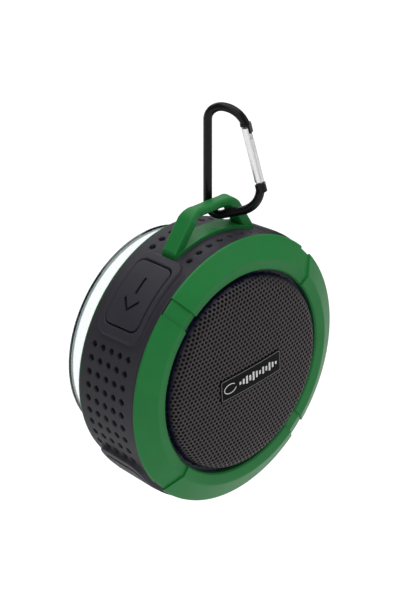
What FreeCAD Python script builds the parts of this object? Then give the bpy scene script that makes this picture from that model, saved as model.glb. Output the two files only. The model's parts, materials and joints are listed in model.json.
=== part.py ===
"""Shower speaker: drum body with suction cup behind, hang loop on top and a snap hook in the loop.

Frame: millimetres. Origin at the centre of the suction cup's rim plane, +Y out of the back towards
the wall, -Y out of the grille, +Z up through the hang loop, +X to the right seen from the front.
Angles round the drum are measured from +X towards +Z.
"""
import FreeCAD
import Part
import math
import os

V = FreeCAD.Vector
DRUM_AXIS = V(0, 1, 0)
CENTRE = V(0, 0, 0)

# Rubber sleeve: a slightly tapered band
SLEEVE_REAR_Y = -11.1
SLEEVE_FRONT_Y = -36.3
SLEEVE_REAR_R = 40.6
SLEEVE_FRONT_R = 42.7
SLEEVE_WALL = 2.1
SHELL_WALL = 1.8
FIT = 0.05              # gap between pieces that are assembled face to face
SOLDER_GAP = 0.02
QUARTERS = (45, 135, 225, 315)
BLOCK_LOW = 34          # radial reach of the blocks from which pads and frames are cut
BLOCK_HIGH = 48

# Dimples in the rubber
DIMPLE_R = 1.02
DIMPLE_FLOOR_R = 0.7
DIMPLE_DEPTH = 1.0
DIMPLE_SPARE = 0.2
DIMPLE_PITCH_Y = 3.85
DIMPLE_PITCH_DEG = 6.3
DIMPLE_MID_Y = -23.05
DIMPLE_COLUMNS = 5
DIMPLE_ROWS = 9
DIMPLE_FIRST_DEG = 72.0
ROW_Y = (-31.4, -15.4)
ROW_PITCH_DEG = 6.2

# Front bezel and grille
BEZEL_R = 43.5
CREST_R = 36.6
CREST_Y = -41.5
OPENING_R = 33.2
BAFFLE_FRONT_Y = -38.6
CLAMP_Y = -39.35
NOTCH_DEG = 8.5
NOTCH_DEPTH = 0.6
GRILLE_R = 31.8
GRILLE_WALL = 0.7
DOME_Y = -45.3
SHOULDER_Y = -43.6
BADGE_SIZE = (26.5, 7.6)
BADGE_FRONT_Y = -45.9
BADGE_TURN = 7.0

# Press pads
PAD_Y = -24.1
PAD_HALF = 11.2
PAD_LENGTH = 14.4
PAD_CORNER = 2.6
PAD_GROOVE = 0.1
FRAME_HALF = 15.1
FRAME_LENGTH = 18.8
FRAME_HEIGHT = 1.5
FRAME_CORNER = 4.0
FRAME_EDGE_R = 0.7
PAD_EDGE_R = 0.5
PAD_CROWN = 0.15             # how far the pads stand above their frames
PAD_ANGLES = {"previous": 135.5, "next": 44.5, "power": 234.0, "play": 306.0}
MARK_STROKE = 0.9
MARK_DEPTH = 0.6
MARK_BAR = 5.9
MARK_MID = 2.9
MARK_TIP = 5.7
MARK_ARM = 3.0
MARK_TOOL = 16          # height of the tools that cut the symbols
STEM_R = 1.3
STEM_Y = -20.8
STEM_TIP = 34.0
STEM_TOP = 40.25
RUNNING = 0.07          # radial clearance of a sliding or turning fit

# Driver
DRIVER_R = 26.0
FLANGE_Y = BAFFLE_FRONT_Y
COIL_R = 6.1
COIL_REAR_Y = -26.9
CONE_INNER_R = 6.25
POLE_R = 5.6
PLATE_HOLE_R = 6.6
PLATE_R = 14.0
PLATE_FRONT_Y = -28.2
MAGNET_FRONT_Y = -26.4
MAGNET_REAR_Y = -23.4
YOKE_REAR_Y = -21.6
CAP_EDGE_Y = -34.65
SPIDER_FOLDS = 5

# Boards and battery
BOARD_FRONT_Y = -18.5
BOARD_THICK = 1.2
BOARD_R = 36.0

# Screw columns
COLUMN_ANGLES = (20, 160, 215, 325)
COLUMN_R = 33.4
COLUMN_RADIUS = 2.6
SCREW_R = 1.1
BAFFLE_SCREW_Y = -37.5      # where the screw heads are seated
REAR_SCREW_Y = -9.9
BOARD_SCREW_R = 0.95
POST_ANGLES = (90, 195, 345)
POST_R = 33.2

# Rear cover and suction cup
COVER_BACK_Y = -8.3
INSERT_R = 4.0
INSERT_FRONT_Y = -15.2
STUD_R = 2.93
STUD_FLANGE_R = 6.0
THREAD_R = 3.0
CUP_RIM_R = 34.0
CUP_FRONT_Y = -7.2

# Hang loop
BAR_Y = -24.3
BAR_Z = 50.4
LOOP_FLAT = 6.0          # half length of the straight bar
LOOP_BEND = 4.4
LOOP_LEAN_DEG = 56.0
LOOP_LEG = 13.5
LOOP_BEND_STEPS = 8
LOOP_BAR_HALF = 2.0
LOOP_FOOT_HALF = 2.75
LOOP_BAR_THICK = 1.45       # half thickness of the bar, and below it of the legs
LOOP_LEG_THICK = 1.8
LOOP_BAR_CORNER = 1.0
LOOP_LEG_CORNER = 0.7
LOOP_SCREW_X = 11.0
LOOP_SCREW_R = 1.25
LOOP_SCREW_TIP_Z = 40.8
ISLAND_HALF = 17.2
ISLAND_DEPTH = 3.0          # half width along Y
ISLAND_CORNER = 1.5
ISLAND_TOP_R = 42.9

# Snap hook, drawn in its own plane: across from the spine, and up
WIRE_R = 1.4
GATE_R = 1.55
HOOK_YAW = -65.0
HOOK_LEAN = -3.7
HOOK_BASE = V(6.417, -20.6, 0.015)
HOOK_PIVOT = (17.15, 58.0)
GATE_TIP = (12.41, 77.4)
PIN_R = 0.5
HINGE_CUP_R = 1.75

# Port cover
PORT_ANGLE = 270
PORT_ROD_R = 0.5
PORT_ROD_HALF = 4.5
PORT_HINGE_Y = -14.9
PORT_FRONT_Y = -25.0
PORT_REAR_Y = -15.6
PORT_HALF = 5.3


def save(name, shape):
    """Write one sub-part."""
    os.makedirs("parts", exist_ok=True)
    solids = shape.Solids
    body = solids[0] if len(solids) == 1 else Part.makeCompound(solids)
    body.exportStep("parts/" + name + ".step")


# ---------------------------------------------------------------- helpers

def wire_through(points, place):
    """Closed wire: a pair is a straight run's end, a foursome an arc's middle and end."""
    edges = []
    at = points[0]
    for step in list(points[1:]) + [points[0]]:
        end = step[-2:]
        if len(step) == 4:
            edges.append(Part.Arc(place(*at), place(*step[:2]), place(*end)).toShape())
        elif math.dist(at, end) > 1e-6:
            edges.append(Part.LineSegment(place(*at), place(*end)).toShape())
        at = end
    return Part.Wire(edges)


def turned(points):
    """Solid of revolution about the drum axis from (radius, y) points."""
    face = Part.Face(wire_through(points, lambda r, y: V(r, y, 0)))
    return face.revolve(CENTRE, DRUM_AXIS, 360)


def drum(radius, y0, y1, x=0.0, z=0.0):
    """Cylinder along Y."""
    return Part.makeCylinder(radius, y1 - y0, V(x, y0, z), DRUM_AXIS)


def ring(r0, r1, y0, y1):
    return drum(r1, y0, y1).cut(drum(r0, y0, y1))


def box(x0, x1, y0, y1, z0, z1):
    return Part.makeBox(x1 - x0, y1 - y0, z1 - z0, V(x0, y0, z0))


def round_block(x0, x1, y0, y1, z0, z1, corner):
    """Box whose upright edges are rounded."""
    k = corner * (1 - math.sqrt(0.5))
    points = [(x0 + corner, y0), (x1 - corner, y0), (x1 - k, y0 + k, x1, y0 + corner),
              (x1, y1 - corner), (x1 - k, y1 - k, x1 - corner, y1),
              (x0 + corner, y1), (x0 + k, y1 - k, x0, y1 - corner),
              (x0, y0 + corner), (x0 + k, y0 + k, x0 + corner, y0)]
    face = Part.Face(wire_through(points, lambda x, y: V(x, y, z0)))
    return face.extrude(V(0, 0, z1 - z0))


def at_angle(shape, angle):
    """Turn a shape drawn at the top of the drum (about +Z) to an angle round the drum."""
    turned_shape = shape.copy()
    turned_shape.rotate(CENTRE, DRUM_AXIS, 90.0 - angle)
    return turned_shape


def spot(radius, angle):
    """X and Z of a point round the drum."""
    return radius * math.cos(math.radians(angle)), radius * math.sin(math.radians(angle))


def sleeve_r(y):
    """Outer radius of the rubber at a depth."""
    share = (SLEEVE_REAR_Y - y) / (SLEEVE_REAR_Y - SLEEVE_FRONT_Y)
    return SLEEVE_REAR_R + share * (SLEEVE_FRONT_R - SLEEVE_REAR_R)


def taper(offset, y0=SLEEVE_FRONT_Y, y1=SLEEVE_REAR_Y):
    """Solid cone parallel to the rubber's outer face."""
    return turned([(0, y0), (sleeve_r(y0) + offset, y0), (sleeve_r(y1) + offset, y1), (0, y1)])


def piped(edges, radius):
    """Round rod along joined straight and curved edges."""
    path = Part.Wire(edges)
    first = path.Edges[0]
    start = first.valueAt(first.FirstParameter)
    along = first.tangentAt(first.FirstParameter)
    section = Part.Wire([Part.Circle(start, along, radius).toShape()])
    return path.makePipeShell([section], True, False)


def joined(shapes):
    """One solid from overlapping shapes."""
    whole = shapes[0].fuse(shapes[1:])
    return whole.removeSplitter()


def group(shapes):
    return Part.makeCompound([s for shape in shapes for s in shape.Solids])


# ---------------------------------------------------------------- rubber sleeve and pads

def pad_frame_block(half, length, corner, low, high, angle, spare=0.0):
    """Rounded block through the drum's wall, about a pad's own press direction."""
    reach = length / 2 + spare
    block = round_block(-half - spare, half + spare, PAD_Y - reach, PAD_Y + reach,
                        low, high, corner + spare)
    return at_angle(block, angle)


def loop_island(spare=0.0):
    """Footprint of the hang loop's base through the rubber."""
    half = ISLAND_HALF + spare
    depth = ISLAND_DEPTH + spare
    return round_block(-half, half, BAR_Y - depth, BAR_Y + depth, 30, 56, ISLAND_CORNER)


def dimple(angle, y):
    """Blind moulded hole with draft, from just outside the rubber's face inwards."""
    outward = V(math.cos(math.radians(angle)), 0, math.sin(math.radians(angle)))
    mouth = outward * (sleeve_r(y) + DIMPLE_SPARE) + V(0, y, 0)
    return Part.makeCone(DIMPLE_R, DIMPLE_FLOOR_R, DIMPLE_DEPTH + DIMPLE_SPARE, mouth, outward * -1)


def dimples():
    """Five columns down each flank, and one row before and behind the loop."""
    made = []
    for side in (1, -1):
        for row in range(DIMPLE_ROWS):
            angle = 90 + side * (DIMPLE_FIRST_DEG + row * DIMPLE_PITCH_DEG)
            for column in range(DIMPLE_COLUMNS):
                offset = column - (DIMPLE_COLUMNS - 1) / 2
                made.append(dimple(angle, DIMPLE_MID_Y + offset * DIMPLE_PITCH_Y))
        for step in range(4):
            angle = 90 + side * ROW_PITCH_DEG * (step + 0.5)
            made += [dimple(angle, y) for y in ROW_Y]
    return made


def pad_opening(angle):
    """Space of a pad in the rubber, with its running gap."""
    return pad_frame_block(PAD_HALF, PAD_LENGTH, PAD_CORNER, BLOCK_LOW, BLOCK_HIGH, angle, PAD_GROOVE)


def pad_frame(angle, opening):
    """Raised frame round a pad, its crown rounded off outside and towards the pad."""
    block = pad_frame_block(FRAME_HALF, FRAME_LENGTH, FRAME_CORNER, BLOCK_LOW, BLOCK_HIGH, angle)
    rim = block.common(taper(FRAME_HEIGHT)).cut(taper(-SLEEVE_WALL / 2)).cut(opening)
    return rim.makeFillet(FRAME_EDGE_R, crown_of(rim).Edges)


def crown_of(shape):
    """The conical face that lies farthest from the drum's axis."""
    cones = [face for face in shape.Faces if isinstance(face.Surface, Part.Cone)]
    return max(cones, key=lambda face: math.hypot(face.CenterOfMass.x, face.CenterOfMass.z))


def rubber_sleeve():
    band = turned([(SLEEVE_REAR_R - SLEEVE_WALL, SLEEVE_REAR_Y),
                   (SLEEVE_REAR_R - 0.4, SLEEVE_REAR_Y), (SLEEVE_REAR_R + 0.03, SLEEVE_REAR_Y - 0.4),
                   (SLEEVE_FRONT_R - 0.03, SLEEVE_FRONT_Y + 0.4), (SLEEVE_FRONT_R - 0.4, SLEEVE_FRONT_Y),
                   (SLEEVE_FRONT_R - SLEEVE_WALL, SLEEVE_FRONT_Y)])
    openings = [pad_opening(angle) for angle in PAD_ANGLES.values()]
    frames = [pad_frame(angle, opening) for angle, opening in zip(PAD_ANGLES.values(), openings)]
    sleeve = band.cut(openings).multiFuse(frames)
    tools = dimples()
    tools.append(loop_island(FIT))
    tools.append(port_window(0.4))
    tools.append(hinge_rod(PORT_ROD_R + RUNNING, PORT_ROD_HALF + 0.4))
    return sleeve.cut(Part.makeCompound(tools))


def mark_bar(x, y, width, height):
    return box(x - width / 2, x + width / 2, PAD_Y + y - height / 2, PAD_Y + y + height / 2,
               BLOCK_LOW, BLOCK_LOW + MARK_TOOL)


def mark_chevron(tip, arm):
    """Arrow head whose tip is on the pad's middle line, arms reaching back and to both sides."""
    reach = 3.1
    half = MARK_STROKE / 2 * 1.25
    points = [(tip - math.copysign(half, arm), PAD_Y), (tip + arm, PAD_Y + reach + half * 0.3),
              (tip + arm + math.copysign(2 * half, arm), PAD_Y + reach - half * 0.3),
              (tip + math.copysign(half, arm), PAD_Y),
              (tip + arm + math.copysign(2 * half, arm), PAD_Y - reach + half * 0.3),
              (tip + arm, PAD_Y - reach - half * 0.3)]
    face = Part.Face(wire_through(points, lambda x, y: V(x, y, BLOCK_LOW)))
    return face.extrude(V(0, 0, MARK_TOOL))


def mark(name):
    """The sunk symbols of each pad, drawn at the top of the drum."""
    if name == "previous":
        return [mark_bar(MARK_MID, 0, MARK_BAR, MARK_STROKE), mark_chevron(-MARK_TIP, MARK_ARM)]
    if name == "next":
        plus = [mark_bar(-MARK_MID, 0, MARK_BAR, MARK_STROKE), mark_bar(-MARK_MID, 0, MARK_STROKE, MARK_BAR)]
        return plus + [mark_chevron(MARK_TIP, -MARK_ARM)]
    if name == "power":
        circle_r = MARK_BAR / 2 + 0.05
        foot = V(0, PAD_Y, BLOCK_LOW)
        circle = Part.makeCylinder(circle_r, MARK_TOOL, foot)
        circle = circle.cut(Part.makeCylinder(circle_r - MARK_STROKE, MARK_TOOL, foot))
        circle = circle.cut(box(-1.0, 1.0, PAD_Y, PAD_Y + 4, BLOCK_LOW, BLOCK_LOW + MARK_TOOL))
        return [circle, mark_bar(0, 2.6, MARK_STROKE, 3.2)]
    triangle = wire_through([(-3.4, PAD_Y - 2.6), (0.9, PAD_Y), (-3.4, PAD_Y + 2.6)],
                            lambda x, y: V(x, y, BLOCK_LOW))
    return [Part.Face(triangle).extrude(V(0, 0, MARK_TOOL)), mark_bar(2.2, 0, MARK_STROKE, 5.2),
            mark_bar(4.0, 0, MARK_STROKE, 5.2)]


def pad(name):
    """Rubber press pad with sunk symbols."""
    angle = PAD_ANGLES[name]
    block = pad_frame_block(PAD_HALF, PAD_LENGTH, PAD_CORNER, BLOCK_LOW, BLOCK_HIGH, angle)
    y0 = PAD_Y - PAD_LENGTH
    y1 = PAD_Y + PAD_LENGTH
    crown = block.common(taper(FRAME_HEIGHT + PAD_CROWN, y0, y1))
    body = crown.cut(taper(1.1 - SLEEVE_WALL, y0, y1))
    body = body.makeFillet(PAD_EDGE_R, crown_of(body).Edges)
    floor = taper(FRAME_HEIGHT + PAD_CROWN - MARK_DEPTH, y0, y1)
    signs = [at_angle(sign, angle).cut(floor) for sign in mark(name)]
    return body.cut(signs)


def stem(name):
    """Stiff rod from the pad to its switch."""
    rod = Part.makeCylinder(STEM_R, STEM_TOP - STEM_TIP, V(0, STEM_Y, STEM_TIP))
    return at_angle(rod, PAD_ANGLES[name])


def tact_switches():
    """Four right-angle switches on the board's edge, each open towards its stem."""
    made = []
    for angle in PAD_ANGLES.values():
        case = box(-3.0, 3.0, BOARD_FRONT_Y - 4.3, BOARD_FRONT_Y - SOLDER_GAP, 31.0, 34.6)
        well = Part.makeCylinder(STEM_R + RUNNING, 4, V(0, STEM_Y, 32.9))
        made.append(at_angle(case.cut(well), angle))
    return group(made)


# ---------------------------------------------------------------- charging port

def port_window(spare):
    reach = PORT_HALF + spare
    block = round_block(-reach, reach, PORT_FRONT_Y - spare, PORT_HINGE_Y + 0.25, 35, 46, 0.4)
    return at_angle(block, PORT_ANGLE)


def hinge_rod(radius, half):
    height = sleeve_r(PORT_HINGE_Y) + 0.1
    return Part.makeCylinder(radius, 2 * half, V(-half, PORT_HINGE_Y, -height), V(1, 0, 0))


def port_cover():
    """Rubber flap with a rolled hinge edge and a plug for the socket."""
    flap = round_block(-PORT_HALF, PORT_HALF, PORT_FRONT_Y, PORT_REAR_Y, 35, 46, 1.5)
    flap = at_angle(flap, PORT_ANGLE).common(taper(0)).cut(taper(-1.7))
    height = sleeve_r(PORT_HINGE_Y) + 0.1
    strap = box(-PORT_ROD_HALF, PORT_ROD_HALF, PORT_REAR_Y - 0.6, PORT_HINGE_Y,
                -height - 0.35, -height + 0.45)
    lift = box(-1.6, 1.6, PORT_FRONT_Y - 0.25, PORT_FRONT_Y + 0.8, -42.3, -41.3)
    plug = round_block(-2.8, 2.8, -20.7, -19.1, 37.3, 39.9, 0.6)
    return joined([flap, strap, hinge_rod(PORT_ROD_R, PORT_ROD_HALF), lift, at_angle(plug, PORT_ANGLE)])


def usb_socket():
    shell = box(-3.75, 3.75, BOARD_FRONT_Y - 2.8, BOARD_FRONT_Y - SOLDER_GAP, -36.4, -31.2)
    mouth = box(-3.4, 3.4, BOARD_FRONT_Y - 2.4, BOARD_FRONT_Y - 0.4, -36.4, -32.0)
    tongue = box(-2.6, 2.6, BOARD_FRONT_Y - 1.6, BOARD_FRONT_Y - 1.0, -35.6, -31.6)
    return joined([shell.cut(mouth), tongue])


# ---------------------------------------------------------------- housing

def mid_housing():
    """Tapered tube with four screw columns and three board posts inside."""
    outer = taper(-SLEEVE_WALL - FIT, SLEEVE_FRONT_Y - 0.1, SLEEVE_REAR_Y)
    inner = taper(-SLEEVE_WALL - FIT - SHELL_WALL, SLEEVE_FRONT_Y - 0.5, SLEEVE_REAR_Y + 0.5)
    pieces = [outer.cut(inner)]
    for angle in COLUMN_ANGLES:
        x, z = spot(COLUMN_R, angle)
        web = at_angle(box(-1.0, 1.0, -34.2, -13.2, COLUMN_R, 37.9), angle)
        pieces.append(drum(COLUMN_RADIUS, -36.4, -13.2, x, z))
        pieces.append(web)
    for angle in POST_ANGLES:
        x, z = spot(POST_R, angle)
        web = at_angle(box(-0.9, 0.9, -26.0, BOARD_FRONT_Y - FIT, POST_R, 38.0), angle)
        pieces.append(drum(2.2, -26.0, BOARD_FRONT_Y - FIT, x, z))
        pieces.append(web)
    shell = joined(pieces)
    tools = []
    for angle in COLUMN_ANGLES:
        x, z = spot(COLUMN_R, angle)
        tools.append(drum(SCREW_R + FIT, -36.5, -29.0, x, z))
        tools.append(drum(SCREW_R + FIT, -20.5, -13.0, x, z))
    for angle in POST_ANGLES:
        x, z = spot(POST_R, angle)
        tools.append(drum(BOARD_SCREW_R + FIT, -24.4, BOARD_FRONT_Y + 1, x, z))
    for angle in PAD_ANGLES.values():
        tools.append(at_angle(Part.makeCylinder(STEM_R + RUNNING, 8, V(0, STEM_Y, 35)), angle))
    tools.append(at_angle(round_block(-4.8, 4.8, -22.7, -17.1, 34, 46, 1.0), PORT_ANGLE))
    for side in (-1, 1):
        tools.append(Part.makeCylinder(LOOP_SCREW_R + FIT, 12, V(side * LOOP_SCREW_X, BAR_Y, 30)))
        tools.append(Part.makeCylinder(2.3, 6.2, V(side * LOOP_SCREW_X, BAR_Y, 30)))
    return shell.cut(Part.makeCompound(tools))


def front_baffle():
    """Front plate that carries the driver in a recess and closes the housing."""
    plate = turned([(23.2, -37.4), (DRIVER_R + 0.2, -37.4), (DRIVER_R + 0.2, BAFFLE_FRONT_Y),
                    (39.4, BAFFLE_FRONT_Y), (40.5, -37.93), (40.5, -37.9), (40.1, -37.7),
                    (40.1, -37.3), (40.5, -37.1),
                    (40.5, -36.45), (38.2, -36.45), (38.2, -36.0), (37.4, -36.0), (37.4, -35.1),
                    (38.2, -35.1), (38.2, -34.6), (36.9, -34.6), (36.9, -36.45), (23.2, -36.45)])
    tools = []
    for angle in COLUMN_ANGLES:
        x, z = spot(COLUMN_R, angle)
        tools.append(drum(SCREW_R + 0.15, -39, -36, x, z))
        tools.append(drum(2.15, -39, BAFFLE_SCREW_Y, x, z))
    return plate.cut(Part.makeCompound(tools))


def screw(x, z, head_y, tip_y, shank_r, head_r, head_height):
    """Cross-recessed pan-head screw along Y; its head stands away from the tip."""
    step = 1 if tip_y < head_y else -1
    low, high = sorted((head_y, tip_y))
    shank = drum(shank_r, low, high, x, z)
    head_low, head_high = sorted((head_y, head_y + step * head_height))
    head = drum(head_r, head_low, head_high, x, z)
    crown = head_high if step > 0 else head_low
    slot_low, slot_high = sorted((crown - step * head_height * 0.5, crown + step))
    arm = head_r * 0.55
    cross = [box(x - arm, x + arm, slot_low, slot_high, z - 0.2, z + 0.2),
             box(x - 0.2, x + 0.2, slot_low, slot_high, z - arm, z + arm)]
    return joined([shank, head]).cut(cross)


def ring_of_screws(angles, radius, head_y, tip_y, shank_r, head_r, head_height):
    return group([screw(*spot(radius, a), head_y, tip_y, shank_r, head_r, head_height)
                  for a in angles])


def loop_screws():
    """Two screws from inside the housing up into the loop's feet."""
    made = []
    head_z = 34.65
    for x in (-LOOP_SCREW_X, LOOP_SCREW_X):
        head = Part.makeCylinder(2.1, 1.5, V(x, BAR_Y, head_z))
        shank = Part.makeCylinder(LOOP_SCREW_R, LOOP_SCREW_TIP_Z - head_z - 1.4, V(x, BAR_Y, head_z + 1.4))
        driver_slot = box(x - 1.2, x + 1.2, BAR_Y - 0.2, BAR_Y + 0.2, head_z - 0.65, head_z + 0.75)
        made.append(joined([head, shank]).cut(driver_slot))
    return group(made)


# ---------------------------------------------------------------- bezel, grille and badge

def bezel_outline(inset):
    """Outer face of the bezel from its rear edge to the opening, moved inwards by inset."""
    return [(43.2 - inset, -36.65), (BEZEL_R - inset, -37.0),
            (43.35 - inset, -37.6 + 0.3 * inset), (37.4 - 0.6 * inset, -41.25 + inset),
            (37.0 - 0.3 * inset, -41.44 + inset, CREST_R - 0.2 * inset, CREST_Y + inset),
            (33.7, -41.15 + inset), (OPENING_R, -40.7 + inset)]


def bezel_notches():
    """Four shallow channels across the bezel, from its edge to its opening."""
    floor = bezel_outline(NOTCH_DEPTH)
    area = [(50, -36.65)] + floor + [(OPENING_R - 1, floor[-1][1]), (OPENING_R - 1, -46), (50, -46)]
    half = math.radians(NOTCH_DEG / 2) * 40
    notches = []
    whole = turned(area)
    for angle in QUARTERS:
        channel = at_angle(round_block(-half, half, -47, -30, 28, 50, 0.2), angle)
        notches.append(whole.common(channel))
    return notches


def front_bezel():
    """Conical ring that snaps over the baffle's edge and clamps the grille."""
    inside = [(OPENING_R, CLAMP_Y), (35.7, CLAMP_Y), (35.7, BAFFLE_FRONT_Y - FIT),
              (39.5, BAFFLE_FRONT_Y - FIT), (40.55, -38.0), (40.55, -37.85), (40.2, -37.65), (40.2, -37.35),
              (40.55, -37.15), (40.55, -36.65)]
    ring_body = turned(bezel_outline(0) + inside)
    return ring_body.cut(bezel_notches())


def cap(edge_r, edge_y, top_y):
    """Arc step of a spherical cap that starts on the axis at top_y and ends at its edge."""
    rise = edge_y - top_y
    ball_r = (edge_r ** 2 + rise ** 2) / (2 * rise)
    half = edge_r / 2
    drop = abs(ball_r) - math.sqrt(ball_r ** 2 - half ** 2)
    return half, top_y + math.copysign(drop, rise), edge_r, edge_y


def dome_outline(inset):
    """Grille's outer face from the centre to its foot, moved inwards by inset."""
    return [(0, DOME_Y + inset), cap(28.0 - 0.1 * inset, SHOULDER_Y + inset, DOME_Y + inset),
            (30.75 - 0.75 * inset, -42.45 + 0.7 * inset, GRILLE_R - inset, -40.2)]


def grille():
    """Domed pan with a flange under the bezel; its many small holes are left out here."""
    outer = dome_outline(0) + [(GRILLE_R, -39.3), (35.5, -39.3), (35.5, BAFFLE_FRONT_Y - FIT),
                               (GRILLE_R - GRILLE_WALL, BAFFLE_FRONT_Y - FIT)]
    hollow = dome_outline(GRILLE_WALL) + [(GRILLE_R - GRILLE_WALL, BAFFLE_FRONT_Y - FIT),
                                          (0, BAFFLE_FRONT_Y - FIT)]
    solid = turned(outer + [(0, BAFFLE_FRONT_Y - FIT)])
    return solid.cut(turned(hollow))


def grille_lining():
    """Thin acoustic cloth under the grille."""
    outside = dome_outline(GRILLE_WALL + 0.1) + [(0, -40.2)]
    inside = dome_outline(GRILLE_WALL + 0.4) + [(0, -40.2)]
    return turned(outside).cut(turned(inside))


def badge():
    """Blank name plate bedded on the dome."""
    half_x, half_z = (size / 2 for size in BADGE_SIZE)
    plate = round_block(-half_x, half_x, -half_z, half_z, 0, 1.9, 1.0)
    plate.rotate(CENTRE, V(1, 0, 0), 90)
    plate.translate(V(0, BADGE_FRONT_Y + 1.9, 0))
    plate.rotate(CENTRE, DRUM_AXIS, -BADGE_TURN)
    bed = turned(dome_outline(-0.02) + [(0, -40.2)])
    return plate.cut(bed)


# ---------------------------------------------------------------- loudspeaker

def driver_basket():
    """Flange, windowed cone frame and the plate that holds the motor."""
    flange = [(22.6, FLANGE_Y), (DRIVER_R, FLANGE_Y), (DRIVER_R, FLANGE_Y + 0.8),
              (23.0, FLANGE_Y + 0.8), (13.9, -28.9), (13.9, -28.2), (6.9, -28.2), (6.9, -29.0),
              (13.0, -29.0), (21.8, FLANGE_Y + 0.9)]
    frame = turned(flange)
    for angle in QUARTERS:
        window = at_angle(round_block(-5.0, 5.0, -36.4, -30.6, 8, 28, 1.5), angle)
        frame = frame.cut(window)
    tag = box(15.2, 17.1, -31.8, -30.2, -2.8, 2.8)
    return joined([frame, tag])


def driver_yoke():
    return joined([drum(POLE_R, PLATE_FRONT_Y - 0.2, -22.0), drum(15.0, MAGNET_REAR_Y + FIT, YOKE_REAR_Y)])


def cone():
    return turned([(CONE_INNER_R, -33.6), (18.5, -38.2), (18.5, -38.6), (CONE_INNER_R, -34.1)])


def surround():
    """Half roll of rubber from the cone's edge to the flange."""
    return turned([(18.6, -38.7), (20.75, -40.4, 22.9, -38.7), (25.6, -38.7), (25.6, -39.0),
                   (23.1, -39.0), (20.75, -40.75, 18.2, -39.0), (17.6, -38.85), (17.6, -38.6)])


def spider():
    """Corrugated centring disc between the coil former and the basket."""
    inner_r = 6.4
    pitch = (PLATE_R - inner_r) / SPIDER_FOLDS
    thick = 0.35
    top = [(inner_r + pitch * i, -31.6 - (0.5 if i % 2 else 0.0)) for i in range(SPIDER_FOLDS + 1)]
    bottom = [(r, y + thick) for r, y in reversed(top)]
    return turned(top + bottom)


def voice_coil():
    former = ring(COIL_R - 0.1, COIL_R + 0.08, -34.0, COIL_REAR_Y)
    winding = ring(COIL_R + 0.05, COIL_R + 0.25, COIL_REAR_Y - 2.3, COIL_REAR_Y)
    return joined([former, winding])


def dust_cap():
    outer = turned([(0, -36.6), cap(6.2, CAP_EDGE_Y, -36.6), (0, CAP_EDGE_Y)])
    hollow = turned([(0, -36.2), cap(5.8, CAP_EDGE_Y, -36.2), (0, CAP_EDGE_Y)])
    return outer.cut(hollow)


# ---------------------------------------------------------------- boards and battery

def main_board():
    disc = drum(BOARD_R, BOARD_FRONT_Y, BOARD_FRONT_Y + BOARD_THICK)
    tools = [drum(COLUMN_RADIUS + 0.4, -20, -16, *spot(COLUMN_R, a)) for a in COLUMN_ANGLES]
    tools += [at_angle(box(-1.6, 1.6, -20, -16, COLUMN_R, 40), a) for a in COLUMN_ANGLES]
    tools += [drum(1.1, -20, -16, *spot(POST_R, a)) for a in POST_ANGLES]
    return disc.cut(Part.makeCompound(tools))


def on_board(x, z, width, depth, height):
    """A part soldered to the board's front face."""
    return box(x - width / 2, x + width / 2, BOARD_FRONT_Y - height, BOARD_FRONT_Y - SOLDER_GAP,
               z - depth / 2, z + depth / 2)


def board_components():
    chips = [on_board(-8, 13, 6, 6, 1.0), on_board(-19, 6, 5, 5, 2.0), on_board(-19, -4, 5, 5, 2.0),
             on_board(4, 20, 4, 4, 0.9), on_board(-8, 22, 2, 3, 1.2), on_board(-14, -14, 3, 2, 1.2),
             on_board(-8, -19, 6, 4, 1.6)]
    cans = [drum(2.4, -23.6, BOARD_FRONT_Y - SOLDER_GAP, x, z) for x, z in ((21.0, 18.5), (-20.0, 17.0))]
    return group(chips + cans)


def bluetooth_module():
    return joined([on_board(12, -9, 12, 15, 0.8), box(7.0, 17.0, BOARD_FRONT_Y - 2.0, BOARD_FRONT_Y - 0.7,
                                                     -15.5, -6.5)])


def speaker_leads():
    """Pair of leads from the basket's tag round to the board."""
    leads = []
    for z in (-1.3, 1.3):
        bend = 3.5
        mid = bend * math.sqrt(0.5)
        edges = [Part.LineSegment(V(17.15, -31, z), V(22, -31, z)).toShape(),
                 Part.Arc(V(22, -31, z), V(22 + mid, -31 + bend - mid, z), V(25.5, -27.5, z)).toShape(),
                 Part.LineSegment(V(25.5, -27.5, z), V(25.5, BOARD_FRONT_Y - 0.05, z)).toShape()]
        leads.append(piped(edges, 0.5))
    return group(leads)


def battery_leads():
    """Pair of leads from the cell's edge round to the board's back."""
    leads = []
    for x in (-14.0, -12.0):
        bend = 1.6
        mid = bend * math.sqrt(0.5)
        y = -14.3
        edges = [Part.LineSegment(V(x, y, 9.45), V(x, y, 7.8)).toShape(),
                 Part.Arc(V(x, y, 7.8), V(x, y - bend + mid, 6.2 + bend - mid),
                          V(x, y - bend, 6.2)).toShape(),
                 Part.LineSegment(V(x, y - bend, 6.2), V(x, -17.2, 6.2)).toShape()]
        leads.append(piped(edges, 0.45))
    return group(leads)


# ---------------------------------------------------------------- back of the body

def rear_ring():
    """Green trim ring behind the rubber, held by the cover's edge."""
    return turned([(36.7, -11.05), (40.4, -11.05), (40.4, -10.9), (40.25, -10.65, 39.9, -10.55),
                   (37.5, -10.3), (37.5, -10.2), (36.7, -10.2)])


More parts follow.
